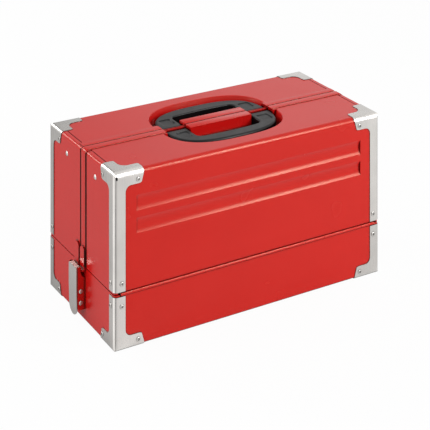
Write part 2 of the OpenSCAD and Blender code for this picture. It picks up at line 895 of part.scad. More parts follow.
base_pan();
base_corner(-1, -1);  // base_corner_front_left
base_corner(1, -1);  // base_corner_front_right
base_corner(-1, 1);  // base_corner_rear_left
base_corner(1, 1);  // base_corner_rear_right
base_rivets();
base_hinge_leaves();
hinge_pins();
base_studs();
right() latch_bracket();  // latch_bracket_left
latch_bracket();  // latch_bracket_right
latch_pins();
right() latch_lever();  // latch_lever_left
latch_lever();  // latch_lever_right
lid_shell();  // front_lid_shell
front_end();  // front_lid_end_left
right() front_end();  // front_lid_end_right
front_frame();  // front_lid_frame
lid_corner(-1, -1, true);  // front_lid_corner_left
lid_corner(1, -1, false);  // front_lid_corner_right
lid_rivets();  // front_lid_rivets
lid_hinge_leaf();  // front_lid_hinge_leaf
front_catches();
handle_pins();  // front_handle_pins
link_rivets();  // front_link_rivets
rear() lid_shell();  // rear_lid_shell
rear() rear_end();  // rear_lid_end_left
rear() right() rear_end();  // rear_lid_end_right
rear_frame();  // rear_lid_frame
lid_corner(-1, 1, false);  // rear_lid_corner_left
lid_corner(1, 1, true);  // rear_lid_corner_right
rear() lid_rivets();  // rear_lid_rivets
rear() lid_hinge_leaf();  // rear_lid_hinge_leaf
rear_catches();
rear() handle_pins();  // rear_handle_pins
rear() link_rivets();  // rear_link_rivets
handle();  // front_handle
rear() handle();  // rear_handle
upper_tray();  // front_upper_tray
lower_tray();  // front_lower_tray
rear() upper_tray();  // rear_upper_tray
rear() lower_tray();  // rear_lower_tray
tray_dividers();  // front_dividers
rear() tray_dividers();  // rear_dividers
upper_tray_pins();  // front_upper_tray_pins
lower_tray_pins();  // front_lower_tray_pins
rear() upper_tray_pins();  // rear_upper_tray_pins
rear() lower_tray_pins();  // rear_lower_tray_pins
outer_arms();  // front_outer_arms
inner_arms();  // front_inner_arms
rear() outer_arms();  // rear_outer_arms
rear() inner_arms();  // rear_inner_arms
links();  // front_links
rear() links();  // rear_links
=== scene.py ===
import json
import math

import bmesh
import bpy
from mathutils import Matrix, Vector


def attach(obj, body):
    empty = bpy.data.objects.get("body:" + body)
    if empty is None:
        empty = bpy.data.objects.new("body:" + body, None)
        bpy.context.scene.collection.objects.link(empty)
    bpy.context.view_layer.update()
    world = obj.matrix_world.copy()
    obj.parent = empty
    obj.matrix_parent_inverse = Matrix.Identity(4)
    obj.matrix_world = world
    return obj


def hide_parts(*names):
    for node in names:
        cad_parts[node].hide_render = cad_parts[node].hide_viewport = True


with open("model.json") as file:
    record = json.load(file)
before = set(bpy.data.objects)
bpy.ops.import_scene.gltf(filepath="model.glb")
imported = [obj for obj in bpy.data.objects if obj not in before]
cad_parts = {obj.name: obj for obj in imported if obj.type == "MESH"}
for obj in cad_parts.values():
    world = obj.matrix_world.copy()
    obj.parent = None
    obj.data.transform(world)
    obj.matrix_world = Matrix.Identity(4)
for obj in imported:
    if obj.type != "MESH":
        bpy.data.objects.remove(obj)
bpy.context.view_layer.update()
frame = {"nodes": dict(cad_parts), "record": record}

mm = 0.001
nodes = frame["nodes"]
bpy.context.scene.view_settings.view_transform = "Standard"
print("frame loaded,", len(nodes), "nodes")

# The picture keeps every upright edge parallel, so the camera's up axis stays vertical while
# it looks down: it hangs on a skewed parent, with no lens shift.
camera = {
    "place": (-1.02453, -1.74463, 0.99583),
    "heading": 30.394,  # degrees from +Y towards +X
    "drop": 24.083,  # degrees below the horizon, on the lens axis
    "lens": 127.44,  # mm on a 36 mm sensor
}


def makeCamera(c):
    data = bpy.data.cameras.new("camera")
    data.sensor_width = 36
    data.lens = c["lens"]
    data.clip_start, data.clip_end = 0.05, 60
    cam = bpy.data.objects.new("camera", data)
    bpy.context.scene.collection.objects.link(cam)
    turn, drop = math.radians(c["heading"]), math.radians(c["drop"])
    ahead = Vector((math.sin(turn), math.cos(turn), 0))
    right = Vector((math.cos(turn), -math.sin(turn), 0))
    look = ahead * math.cos(drop) - Vector((0, 0, math.sin(drop)))
    skew = Matrix((right, Vector((0, 0, 1)), -look)).transposed().to_4x4()
    stand = bpy.data.objects.new("camera_stand", None)
    bpy.context.scene.collection.objects.link(stand)
    stand.location = c["place"]
    cam.parent = stand
    cam.matrix_parent_inverse = skew
    bpy.context.scene.camera = cam


makeCamera(camera)
print("camera set")

light = {
    "world": 0.585,
    "mirrored": (0.5, 1.0),  # world in reflections, straight behind the box and at the sides
    "turnsBright": (20, 34),  # degrees to either side, where the one becomes the other
    "key": {"place": (1.25, -1.85, 1.2), "size": (0.7, 0.7), "power": 25},  # only diffuse
    "card": {"place": (1.09, -1.68, 1.46), "size": (0.36, 1.6), "power": 36},  # only mirrored
    "fill": {"place": (-2.1, 0.6, 0.95), "size": (1.2, 1.2), "power": 11},
    "back": {"place": (-0.98, 1.7, 1.15), "size": (0.5, 0.5), "power": 10},
    "floor": 0.88,
    "floorUneven": 0.01,
    "floorSize": 9,  # half width in metres
    "floorGlossy": 0.85,  # share of the floor below that reflections get
    "floorSeen": 0.96,  # share of plain white in the floor, as the camera sees it
    # painted reflection: the floor glows for reflections by degrees from +Y round the front left
    # corner: a bright stretch on the left in place of a white card, a dim stretch in front of it
    # and another behind the box
    "floorMirrored": ((-180, 0.9), (-163, 0.9), (-150, 0.25), (-129, 0.3), (-98, 1.7), (-74, 1.5),
                      (-54, 0.72), (-30, 0.72), (0, 0.45), (60, 0.7), (115, 1.1), (180, 0.85)),
    "floorCorner": (-0.216, -0.105, 0),
}


def areaLamp(name, lamp):
    data = bpy.data.lights.new(name, "AREA")
    data.shape = "RECTANGLE"
    data.size, data.size_y = lamp["size"]
    data.energy = lamp["power"]
    lampObject = bpy.data.objects.new(name, data)
    lampObject.location = lamp["place"]
    aim = Vector((0, 0, 0.12)) - Vector(lamp["place"])
    lampObject.rotation_euler = aim.to_track_quat("-Z", "Y").to_euler()
    bpy.context.scene.collection.objects.link(lampObject)
    return lampObject


# bearing from +Y towards +X, in radians
def bearingOf(tree, compass):
    bearing = tree.nodes.new("ShaderNodeMath")
    bearing.operation = "ARCTAN2"
    tree.links.new(compass.outputs["X"], bearing.inputs[0])
    tree.links.new(compass.outputs["Y"], bearing.inputs[1])
    return bearing.outputs[0]


# brightness that follows stops of (degrees, amount) round the compass
def allRound(tree, compass, stopList):
    ramp = tree.nodes.new("ShaderNodeValToRGB")
    stops = ramp.color_ramp.elements
    while len(stops) < len(stopList):
        stops.new(0.5)
    for stop, (degrees, amount) in zip(stops, stopList):
        stop.position = (degrees + 180) / 360
        stop.color = (amount, amount, amount, 1)
    around = tree.nodes.new("ShaderNodeMapRange")
    around.inputs["From Min"].default_value = -math.pi
    around.inputs["From Max"].default_value = math.pi
    tree.links.new(bearingOf(tree, compass), around.inputs["Value"])
    tree.links.new(around.outputs["Result"], ramp.inputs["Fac"])
    return ramp.outputs["Color"]


# dim straight behind the box, brighter to both sides
def bySide(tree, compass, amounts):
    size = tree.nodes.new("ShaderNodeMath")
    size.operation = "ABSOLUTE"
    rise = tree.nodes.new("ShaderNodeMapRange")
    rise.interpolation_type = "SMOOTHSTEP"
    for k, name in enumerate(("From Min", "From Max")):
        rise.inputs[name].default_value = math.radians(light["turnsBright"][k])
    for k, name in enumerate(("To Min", "To Max")):
        rise.inputs[name].default_value = amounts[k]
    tree.links.new(bearingOf(tree, compass), size.inputs[0])
    tree.links.new(size.outputs[0], rise.inputs["Value"])
    return rise.outputs["Result"]


def makeWorld():
    world = bpy.data.worlds.new("studio")
    bpy.context.scene.world = world
    world.use_nodes = True
    tree = world.node_tree
    tree.nodes.clear()
    out = tree.nodes.new("ShaderNodeOutputWorld")
    seen = tree.nodes.new("ShaderNodeBackground")
    seen.inputs["Strength"].default_value = 1
    seen.inputs["Color"].default_value = (1, 1, 1, 1)
    lit = tree.nodes.new("ShaderNodeBackground")
    lit.inputs["Strength"].default_value = light["world"]
    lit.inputs["Color"].default_value = (1, 1, 1, 1)
    mirrored = tree.nodes.new("ShaderNodeBackground")
    mirrored.inputs["Color"].default_value = (1, 1, 1, 1)
    path = tree.nodes.new("ShaderNodeLightPath")
    compass = tree.nodes.new("ShaderNodeSeparateXYZ")
    tree.links.new(tree.nodes.new("ShaderNodeTexCoord").outputs["Generated"], compass.inputs[0])
    tree.links.new(bySide(tree, compass, light["mirrored"]), mirrored.inputs["Strength"])
    inner = tree.nodes.new("ShaderNodeMixShader")
    mix = tree.nodes.new("ShaderNodeMixShader")
    tree.links.new(path.outputs["Is Glossy Ray"], inner.inputs[0])
    tree.links.new(lit.outputs[0], inner.inputs[1])
    tree.links.new(mirrored.outputs[0], inner.inputs[2])
    tree.links.new(path.outputs["Is Camera Ray"], mix.inputs[0])
    tree.links.new(inner.outputs[0], mix.inputs[1])
    tree.links.new(seen.outputs[0], mix.inputs[2])
    tree.links.new(mix.outputs[0], out.inputs["Surface"])


def makeFloor():
    mat = bpy.data.materials.new("floor_white")
    mat.use_nodes = True
    tree = mat.node_tree
    tree.nodes.clear()
    out = tree.nodes.new("ShaderNodeOutputMaterial")
    paper = tree.nodes.new("ShaderNodeBsdfDiffuse")
    grain = tree.nodes.new("ShaderNodeTexNoise")
    grain.inputs["Scale"].default_value = 3
    tone = tree.nodes.new("ShaderNodeMapRange")
    tone.inputs["To Min"].default_value = light["floor"] - light["floorUneven"]
    tone.inputs["To Max"].default_value = light["floor"] + light["floorUneven"]
    glow = tree.nodes.new("ShaderNodeEmission")
    path = tree.nodes.new("ShaderNodeLightPath")
    mirror = tree.nodes.new("ShaderNodeEmission")
    seenShare = tree.nodes.new("ShaderNodeMath")
    seenShare.operation = "MULTIPLY"
    seenShare.inputs[1].default_value = light["floorSeen"]
    mirrorShare = tree.nodes.new("ShaderNodeMath")
    mirrorShare.operation = "MULTIPLY"
    mirrorShare.inputs[1].default_value = light["floorGlossy"]
    compass = tree.nodes.new("ShaderNodeSeparateXYZ")
    inner = tree.nodes.new("ShaderNodeMixShader")
    mix = tree.nodes.new("ShaderNodeMixShader")
    tree.links.new(grain.outputs["Fac"], tone.inputs["Value"])
    tree.links.new(tone.outputs["Result"], paper.inputs["Color"])
    fromCorner = tree.nodes.new("ShaderNodeVectorMath")
    fromCorner.operation = "SUBTRACT"
    fromCorner.inputs[1].default_value = light["floorCorner"]
    tree.links.new(tree.nodes.new("ShaderNodeTexCoord").outputs["Object"], fromCorner.inputs[0])
    tree.links.new(fromCorner.outputs[0], compass.inputs[0])
    # painted reflection: the floor's glow in reflections follows these stops round the corner
    tree.links.new(allRound(tree, compass, light["floorMirrored"]), mirror.inputs["Strength"])
    tree.links.new(path.outputs["Is Glossy Ray"], mirrorShare.inputs[0])
    tree.links.new(mirrorShare.outputs[0], inner.inputs[0])
    tree.links.new(paper.outputs[0], inner.inputs[1])
    tree.links.new(mirror.outputs[0], inner.inputs[2])
    tree.links.new(path.outputs["Is Camera Ray"], seenShare.inputs[0])
    tree.links.new(seenShare.outputs[0], mix.inputs[0])
    tree.links.new(inner.outputs[0], mix.inputs[1])
    tree.links.new(glow.outputs[0], mix.inputs[2])
    tree.links.new(mix.outputs[0], out.inputs["Surface"])
    mesh = bpy.data.meshes.new("floor")
    h = light["floorSize"]
    mesh.from_pydata([(-h, -h, 0), (h, -h, 0), (h, h, 0), (-h, h, 0)], [], [(0, 1, 2, 3)])
    floor = bpy.data.objects.new("floor", mesh)
    floor.location.z = -0.0002  # just under the base
    mesh.materials.append(mat)
    bpy.context.scene.collection.objects.link(floor)


areaLamp("key_lamp", light["key"]).visible_glossy = False
areaLamp("card_lamp", light["card"]).visible_diffuse = False
areaLamp("fill_lamp", light["fill"]).data.cycles.max_bounces = 0
areaLamp("back_lamp", light["back"]).data.cycles.max_bounces = 0
makeWorld()
makeFloor()
print("studio lit")


def newMaterial(name):
    mat = bpy.data.materials.new(name)
    mat.use_nodes = True
    tree = mat.node_tree
    shader = tree.nodes["Principled BSDF"]
    where = tree.nodes.new("ShaderNodeTexCoord").outputs["Object"]
    return mat, tree, shader, where


def noise(tree, where, scale, detail=3, stretch=None):
    if stretch:
        mapping = tree.nodes.new("ShaderNodeMapping")
        mapping.inputs["Scale"].default_value = stretch
        tree.links.new(where, mapping.inputs["Vector"])
        where = mapping.outputs["Vector"]
    texture = tree.nodes.new("ShaderNodeTexNoise")
    texture.inputs["Scale"].default_value = scale
    texture.inputs["Detail"].default_value = detail
    tree.links.new(where, texture.inputs["Vector"])
    return texture.outputs["Fac"]


def spread(tree, value, low, high, fromLow=0.3, fromHigh=0.7):
    node = tree.nodes.new("ShaderNodeMapRange")
    node.interpolation_type = "SMOOTHSTEP"
    node.inputs["From Min"].default_value = fromLow
    node.inputs["From Max"].default_value = fromHigh
    node.inputs["To Min"].default_value = low
    node.inputs["To Max"].default_value = high
    tree.links.new(value, node.inputs["Value"])
    return node.outputs["Result"]


def blendColour(tree, value, one, two):
    node = tree.nodes.new("ShaderNodeMix")
    node.data_type = "RGBA"
    colours = [s for s in node.inputs if s.type == "RGBA"]
    for socket, colour in zip(colours, (one, two)):
        if isinstance(colour, tuple):
            socket.default_value = (*colour, 1)
        else:
            tree.links.new(colour, socket)
    tree.links.new(value, node.inputs["Factor"])
    return [s for s in node.outputs if s.type == "RGBA"][0]


# painted shade: the colour darkened by ambient occlusion in the gaps between sheets, and around
# whatever stands on a sheet
def creviceShade(tree, colour, dark, reach, low=0.5, high=0.95):
    node = tree.nodes.new("ShaderNodeAmbientOcclusion")
    node.samples = 6
    node.inputs["Distance"].default_value = reach
    return blendColour(tree, spread(tree, node.outputs["AO"], 0, 1, low, high), dark, colour)


def combined(tree, operation, one, two):
    node = tree.nodes.new("ShaderNodeMath")
    node.operation = operation
    tree.links.new(one, node.inputs[0])
    tree.links.new(two, node.inputs[1])
    return node.outputs[0]


def distanceFrom(tree, value, spot):
    away = tree.nodes.new("ShaderNodeMath")
    away.operation = "SUBTRACT"
    away.inputs[1].default_value = spot
    size = tree.nodes.new("ShaderNodeMath")
    size.operation = "ABSOLUTE"
    tree.links.new(value, away.inputs[0])
    tree.links.new(away.outputs[0], size.inputs[0])
    return size.outputs[0]


def bump(tree, shader, height, depth, strength=1.0):
    node = tree.nodes.new("ShaderNodeBump")
    node.inputs["Distance"].default_value = depth
    node.inputs["Strength"].default_value = strength
    tree.links.new(height, node.inputs["Height"])
    tree.links.new(node.outputs["Normal"], shader.inputs["Normal"])


paint = {
    "fresh": (0.615, 0.0070, 0.0065),
    "faded": (0.655, 0.0090, 0.0080),
    # colour of the painted shade in the gaps and along the seams on the ends
    "creviceShade": (0.05, 0.001, 0.001),
    "creviceReach": 0.004,
    # painted shade: dark lines on the ends along the open seam and the joint beside it, where the
    # deep gaps lie in shade
    "seamShades": (0.0, -0.017),  # Y of the open seam and of the joint beside it, on the ends
    "seamHalf": (0.0014, 0.0034),  # dark up to the first, clear from the second on
    "seamX": (0.2145, 0.2152),  # dark only beyond this, which leaves out the top
    "seamZ": (0.0745, 0.0755),  # and only above this
    "gloss": (0.23, 0.28),  # roughness between
    "ior": 1.38,
    "sheenTint": (1.0, 1.0, 0.75),
    "peelSize": 420,
    "peelDepth": 0.00004,
}


def redPaint():
    mat, tree, shader, where = newMaterial("red_paint")
    cloud = spread(tree, noise(tree, where, 9), 0, 1, 0.1, 0.9)
    tone = blendColour(tree, cloud, paint["fresh"], paint["faded"])
    # painted shade: darker in the gaps between sheets and round what stands on them
    tone = creviceShade(tree, tone, paint["creviceShade"], paint["creviceReach"])
    place = tree.nodes.new("ShaderNodeSeparateXYZ")
    tree.links.new(where, place.inputs[0])
    # painted shade along the seam and the joint on the ends, with the roughness raised there too
    clear = None
    for seam in paint["seamShades"]:
        free = spread(tree, distanceFrom(tree, place.outputs["Y"], seam), 0, 1, *paint["seamHalf"])
        clear = free if clear is None else combined(tree, "MINIMUM", clear, free)
    onTop = spread(tree, distanceFrom(tree, place.outputs["X"], 0), 1, 0, *paint["seamX"])
    below = spread(tree, place.outputs["Z"], 1, 0, *paint["seamZ"])
    clear = combined(tree, "MAXIMUM", combined(tree, "MAXIMUM", clear, onTop), below)
    tree.links.new(blendColour(tree, clear, paint["creviceShade"], tone), shader.inputs["Base Color"])
    rub = spread(tree, noise(tree, where, 25, 2), *paint["gloss"], 0.1, 0.9)
    rough = combined(tree, "MAXIMUM", rub, spread(tree, clear, 0.9, 0, 0, 1))
    tree.links.new(rough, shader.inputs["Roughness"])
    shader.inputs["IOR"].default_value = paint["ior"]
    shader.inputs["Specular Tint"].default_value = (*paint["sheenTint"], 1)
    bump(tree, shader, noise(tree, where, paint["peelSize"], 2), paint["peelDepth"], 0.5)
    return mat


satin = {
    "light": (0.70, 0.675, 0.645),
    "dark": (0.58, 0.56, 0.535),
    # colour of the painted shade in the gaps
    "creviceShade": (0.09, 0.085, 0.08),
    "creviceReach": 0.003,
    "gloss": (0.24, 0.36),
    "brushDepth": 0.00002,
}


def satinMetal():
    mat, tree, shader, where = newMaterial("satin_steel")
    shader.inputs["Metallic"].default_value = 1
    cloud = spread(tree, noise(tree, where, 14), 0, 1)
    tone = blendColour(tree, cloud, satin["light"], satin["dark"])
    # painted shade: darker in the gaps and round the rivets
    tone = creviceShade(tree, tone, satin["creviceShade"], satin["creviceReach"])
    tree.links.new(tone, shader.inputs["Base Color"])
    strokes = noise(tree, where, 300, 4, (1, 1, 0.04))
    tree.links.new(spread(tree, strokes, *satin["gloss"]), shader.inputs["Roughness"])
    bump(tree, shader, strokes, satin["brushDepth"], 0.35)
    return mat


zinc = {
    "light": (0.66, 0.66, 0.655),
    "dark": (0.50, 0.505, 0.51),
    "gloss": (0.25, 0.42),
    "grainDepth": 0.00002,
}


def zincMetal():
    mat, tree, shader, where = newMaterial("zinc_steel")
    shader.inputs["Metallic"].default_value = 1
    cloud = spread(tree, noise(tree, where, 60, 5), 0, 1)
    tree.links.new(blendColour(tree, cloud, zinc["light"], zinc["dark"]),
                   shader.inputs["Base Color"])
    tree.links.new(spread(tree, noise(tree, where, 150, 4), *zinc["gloss"]),
                   shader.inputs["Roughness"])
    bump(tree, shader, noise(tree, where, 900, 2), zinc["grainDepth"], 0.3)
    return mat


grip = {
    "tone": (0.0045, 0.0045, 0.005),
    "rubbed": (0.008, 0.008, 0.008),
    "gloss": (0.3, 0.38),
    "ior": 1.33,
    "hollow": 0.012,  # reach of the dulling down in the recess
    "sheen": (0.04, 0.5),  # in the hollow and out in the open
    "walls": 0.12,  # share of it left on upright walls
    "grain": 1500,
    "grainDepth": 0.00005,
}


def blackPlastic():
    mat, tree, shader, where = newMaterial("black_plastic")
    cloud = spread(tree, noise(tree, where, 45, 5), 0, 1)
    tree.links.new(blendColour(tree, cloud, grip["tone"], grip["rubbed"]),
                   shader.inputs["Base Color"])
    tree.links.new(spread(tree, noise(tree, where, 120, 4), *grip["gloss"]),
                   shader.inputs["Roughness"])
    shader.inputs["IOR"].default_value = grip["ior"]
    hollow = tree.nodes.new("ShaderNodeAmbientOcclusion")  # less sheen down in the recess
    hollow.samples = 6
    hollow.inputs["Distance"].default_value = grip["hollow"]
    facing = tree.nodes.new("ShaderNodeSeparateXYZ")  # and less on the upright walls
    tree.links.new(tree.nodes.new("ShaderNodeTexCoord").outputs["Normal"], facing.inputs[0])
    inOpen = spread(tree, hollow.outputs["AO"], *grip["sheen"], 0.45, 0.95)
    onTop = spread(tree, facing.outputs["Z"], grip["walls"], 1, 0.05, 0.6)
    tree.links.new(combined(tree, "MULTIPLY", inOpen, onTop), shader.inputs["Specular IOR Level"])
    bump(tree, shader, noise(tree, where, grip["grain"], 2), grip["grainDepth"], 0.5)
    return mat


finishes = {
    "red_paint": redPaint(),
    "satin_steel": satinMetal(),
    "zinc_steel": zincMetal(),
    "black_plastic": blackPlastic(),
}
for part in frame["record"]["subparts"]:
    target = nodes[part["node"]]
    for s in range(max(1, len(target.material_slots))):
        if target.material_slots:
            target.material_slots[s].material = finishes[part["material_slot"]]
        else:
            target.data.materials.append(finishes[part["material_slot"]])
print("finishes on")

# the sheet metal brackets keep a soft cut edge
for part in frame["record"]["subparts"]:
    if "corner" in part["node"]:
        soft = nodes[part["node"]].modifiers.new("cut_edge", "BEVEL")
        soft.width = 0.0003
        soft.segments = 2
        soft.limit_method = "ANGLE"
        soft.angle_limit = math.radians(50)
print("bracket edges softened")

# outside of the sheets in mm: ends, front and rear, top of the lids
halfX, halfY, topZ = 215.6, 104.8, 233.1
sharpFrom = 38  # degrees, edges that stay sharp in smooth shading


# tools for the pieces that are shaped here


def pieceFrom(name, mesh, slotName, body, *standsFor):
    data = bpy.data.meshes.new(name)
    bmesh.ops.recalc_face_normals(mesh, faces=mesh.faces)
    mesh.to_mesh(data)
    mesh.free()
    data.polygons.foreach_set("use_smooth", [True] * len(data.polygons))
    data.set_sharp_from_angle(angle=math.radians(sharpFrom))
    data.materials.append(finishes[slotName])
    piece = bpy.data.objects.new(name, data)
    bpy.context.scene.collection.objects.link(piece)
    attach(piece, body)
    if standsFor:
        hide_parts(*standsFor)
    return piece


# turned profile of (distance along the axis, radius) pairs in mm, from one end to the other
def turned(mesh, profile, place, along, sides=36):
    axis = Vector(along).normalized()
    first = axis.orthogonal().normalized()
    second = axis.cross(first)
    start = Vector(place) * mm
    rings = []
    for reach, radius in profile:
        middle = start + axis * reach * mm
        if radius < 0.01:
            rings.append([mesh.verts.new(middle)])
            continue
        ring = []
        for k in range(sides):
            turn = 2 * math.pi * k / sides
            side = first * math.cos(turn) + second * math.sin(turn)
            ring.append(mesh.verts.new(middle + side * radius * mm))
        rings.append(ring)
    for low, high in zip(rings, rings[1:]):
        for k in range(sides):
            n = (k + 1) % sides
            corners = [low[k % len(low)], low[n % len(low)],
                       high[n % len(high)], high[k % len(high)]]
            mesh.faces.new([c for i, c in enumerate(corners) if c not in corners[:i]])


# blind rivets of the corner brackets, with the dimple that the drawn mandrel leaves
rivet = {
    "head": [(-0.05, 0), (-0.05, 2.85), (0.1, 3.0), (0.35, 3.0), (0.7, 2.78), (0.98, 2.35),
             (1.08, 2.0), (1.02, 1.75), (0.5, 1.55), (0.2, 1.45), (0.15, 1.2), (0.3, 0.7),
             (0.35, 0)],
    "skin": 0.9,  # bracket sheet under the head
}


# sides: -1 for the front, 1 for the rear
def cornerRivets(name, body, spots, sides):
    mesh = bmesh.new()
    for x, z in spots["long"]:
        for left in (-1, 1):
            for back in sides:
                turned(mesh, rivet["head"], (left * x, back * (halfY + rivet["skin"]), z),
                       (0, back, 0))
    for y, z in spots["end"]:
        for left in (-1, 1):
            for back in sides:
                turned(mesh, rivet["head"], (left * (halfX + rivet["skin"]), back * y, z),
                       (left, 0, 0))
    pieceFrom(name + "_turned", mesh, "satin_steel", body, name)


# (from the middle, height) of the rivets, on the long sides and on the ends
baseSpots = {"long": [(halfX - 10.4, 58.1), (halfX - 34.6, 9.0)],
             "end": [(halfY - 9.8, 58.1), (halfY - 35, 9.0)]}
lidSpots = {"long": [(halfX - 10.4, 87.9), (halfX - 34.6, 221.0)],
            "end": [(halfY - 9.8, 87.9), (halfY - 34.5, 222.1)]}
cornerRivets("base_rivets", "base", baseSpots, (-1, 1))
cornerRivets("front_lid_rivets", "front_lid", lidSpots, (-1,))
cornerRivets("rear_lid_rivets", "rear_lid", lidSpots, (1,))
print("corner rivets turned")

# rivets in the lid ends that carry the links: dome outside, collar on each side of the link
linkRivet = {
    "in": 46.0,  # from the seam
    "high": 209.0,
    "profile": [(1.3, 0), (1.28, 0.8), (1.12, 1.7), (0.8, 2.5), (0.35, 3.15), (0.08, 3.45),
                (0, 3.5), (0, 2.5), (-1, 2.5), (-1, 4.0), (-1.15, 4.2), (-2.25, 4.2),
                (-2.4, 4.05), (-2.4, 2.5), (-4.0, 2.5), (-4.0, 4.05), (-4.15, 4.2),
                (-4.55, 4.2), (-4.7, 4.05), (-4.7, 0)],
}
for side, back in (("front", -1), ("rear", 1)):
    mesh = bmesh.new()
    for left in (-1, 1):
        turned(mesh, linkRivet["profile"],
               (left * halfX, back * linkRivet["in"], linkRivet["high"]), (left, 0, 0))
    pieceFrom(side + "_link_rivets_turned", mesh, "satin_steel", side + "_lid",
              side + "_link_rivets")
print("link rivets turned")

# latch pins with riveted heads, and the short upper rivets in the cheeks
latchPin = {
    "out": 6.0,  # from the end panel
    "high": 26.8,
    "up": 15.7,  # upper rivet above the pin
    "half": 14.0,  # half width over the cheeks
    "pin": [(-15.0, 0), (-15.0, 0.7), (-14.86, 1.0), (-14.93, 1.5), (-14.8, 2.4), (-14.5, 3.0),
            (-14.2, 3.2), (-14.0, 3.15), (-14.0, 2.0), (14.0, 2.0), (14.0, 3.15), (14.2, 3.2),
            (14.5, 3.0), (14.8, 2.4), (14.93, 1.5), (14.86, 1.0), (15.0, 0.7), (15.0, 0)],
    "stub": [(0, 0), (0, 3.15), (0.2, 3.2), (0.5, 3.0), (0.8, 2.4), (0.93, 1.5), (0.86, 1.0),
             (1.0, 0.7), (1.0, 0)],
}
mesh = bmesh.new()
for left in (-1, 1):
    x = left * (halfX + latchPin["out"])
    turned(mesh, latchPin["pin"], (x, 0, latchPin["high"]), (0, 1, 0))
    for back in (-1, 1):
        turned(mesh, latchPin["stub"],
               (x, back * latchPin["half"], latchPin["high"] + latchPin["up"]), (0, back, 0))
pieceFrom("latch_pins_turned", mesh, "satin_steel", "base", "latch_pins")
print("latch pins turned")


# tube through rings of the same count, with both ends closed
def tube(mesh, rings):
    count = len(rings[0])
    for one, two in zip(rings, rings[1:]):
        for k in range(count):
            n = (k + 1) % count
            mesh.faces.new((one[k], one[n], two[n], two[k]))
    mesh.faces.new(rings[0])
    mesh.faces.new(list(reversed(rings[-1])))


# moulded handles: a top with broad rounded edges, sunk panels on the legs, round pivot ends
handle = {
    "half": (87.6, 65.3),  # outer outline
    "full": 2.8,  # its power as a superellipse
    "innerX": 52.5,
    "innerY": 44.3,
    "innerR": 9.0,
    "bow": 450.0,  # radius of the grip's inner edge
    "legEnd": 36.0,  # y where the leg ends on the outer outline
    "gripEnd": 52.0,  # x where the grip ends on it
    "legSteps": 41,
    "cornerSteps": 30,
    "gripSteps": 30,
    "roundEnd": (0.992, 0.96, 0.9, 0.8, 0.65, 0.5, 0.35, 0.2, 0.1),  # shares of half the thickness
    "pivot": (8.5, 224.6),  # from the seam, height
    "thick": 12.0,
    "outerSide": [(0.7, 0), (0.2, 0.2), (0, 0.7), (0, 8.8), (0.1, 9.5), (0.4, 10.1), (0.8, 10.6),
                  (1.3, 11.1), (1.8, 11.5), (2.3, 11.8), (2.9, 11.96), (3.6, 12)],
    "innerSide": [(2.2, 12), (1.7, 11.97), (1.2, 11.85), (0.7, 11.55), (0.35, 11.15), (0.1, 10.6),
                  (0, 10.0), (0, 0.7), (0.2, 0.2), (0.7, 0)],
    "topSteps": 34,
    "panel": {
        "middle": (67.0, 26.5),
        "half": (9.5, 10.5),
        "round": 4.0,
        "deep": 1.0,
        "slope": 1.0,
    },
}


# rows across the bail from one leg to the other: inner point, outer point, share of thickness
def handleRows(h):
    outX, outY = h["half"]
    n = h["full"]

    def outerAtY(y):
        return outX * (1 - (y / outY) ** n) ** (1 / n), y

    def outerAtX(x):
        return x, outY * (1 - (x / outX) ** n) ** (1 / n)

    def outerAt(turn):
        return outX * math.cos(turn) ** (2 / n), outY * math.sin(turn) ** (2 / n)

    near, far = h["innerX"], h["innerY"]
    r = h["innerR"]
    cornerY = far - (near - r) ** 2 / (2 * h["bow"]) - r
    turnLow = math.asin((h["legEnd"] / outY) ** (n / 2))
    turnHigh = math.acos((h["gripEnd"] / outX) ** (n / 2))
    pivotY = h["pivot"][0]
    rows = []
    for step in h["roundEnd"]:
        y = pivotY - step * (h["thick"] / 2)
        rows.append(((near, y), outerAtY(y), math.sqrt(1 - step * step)))
    for k in range(h["legSteps"]):
        f = k / h["legSteps"]
        inner = (near, pivotY + (cornerY - pivotY) * f)
        rows.append((inner, outerAtY(pivotY + (h["legEnd"] - pivotY) * f), 1))
    for k in range(h["cornerSteps"]):
        f = k / h["cornerSteps"]
        turn = math.pi / 2 * f
        inner = (near - r + r * math.cos(turn), cornerY + r * math.sin(turn))
        rows.append((inner, outerAt(turnLow + (turnHigh - turnLow) * f), 1))
    for k in range(h["gripSteps"] + 1):
        f = 1 - k / h["gripSteps"]
        x = (near - r) * f
        rows.append(((x, far - x * x / (2 * h["bow"])), outerAtX(h["gripEnd"] * f), 1))
    other = [((-i[0], i[1]), (-o[0], o[1]), q) for i, o, q in reversed(rows[:-1])]
    return rows + other


# depth of the sunk panels on the legs under the top face
def panelDepth(h, x, y):
    p = h["panel"]
    dx = abs(abs(x) - p["middle"][0]) - p["half"][0] + p["round"]
    dy = abs(y - p["middle"][1]) - p["half"][1] + p["round"]
    away = math.hypot(max(dx, 0), max(dy, 0)) + min(max(dx, dy), 0) - p["round"]
    f = min(max(-away / p["slope"], 0), 1)
    return p["deep"] * f * f * (3 - 2 * f)


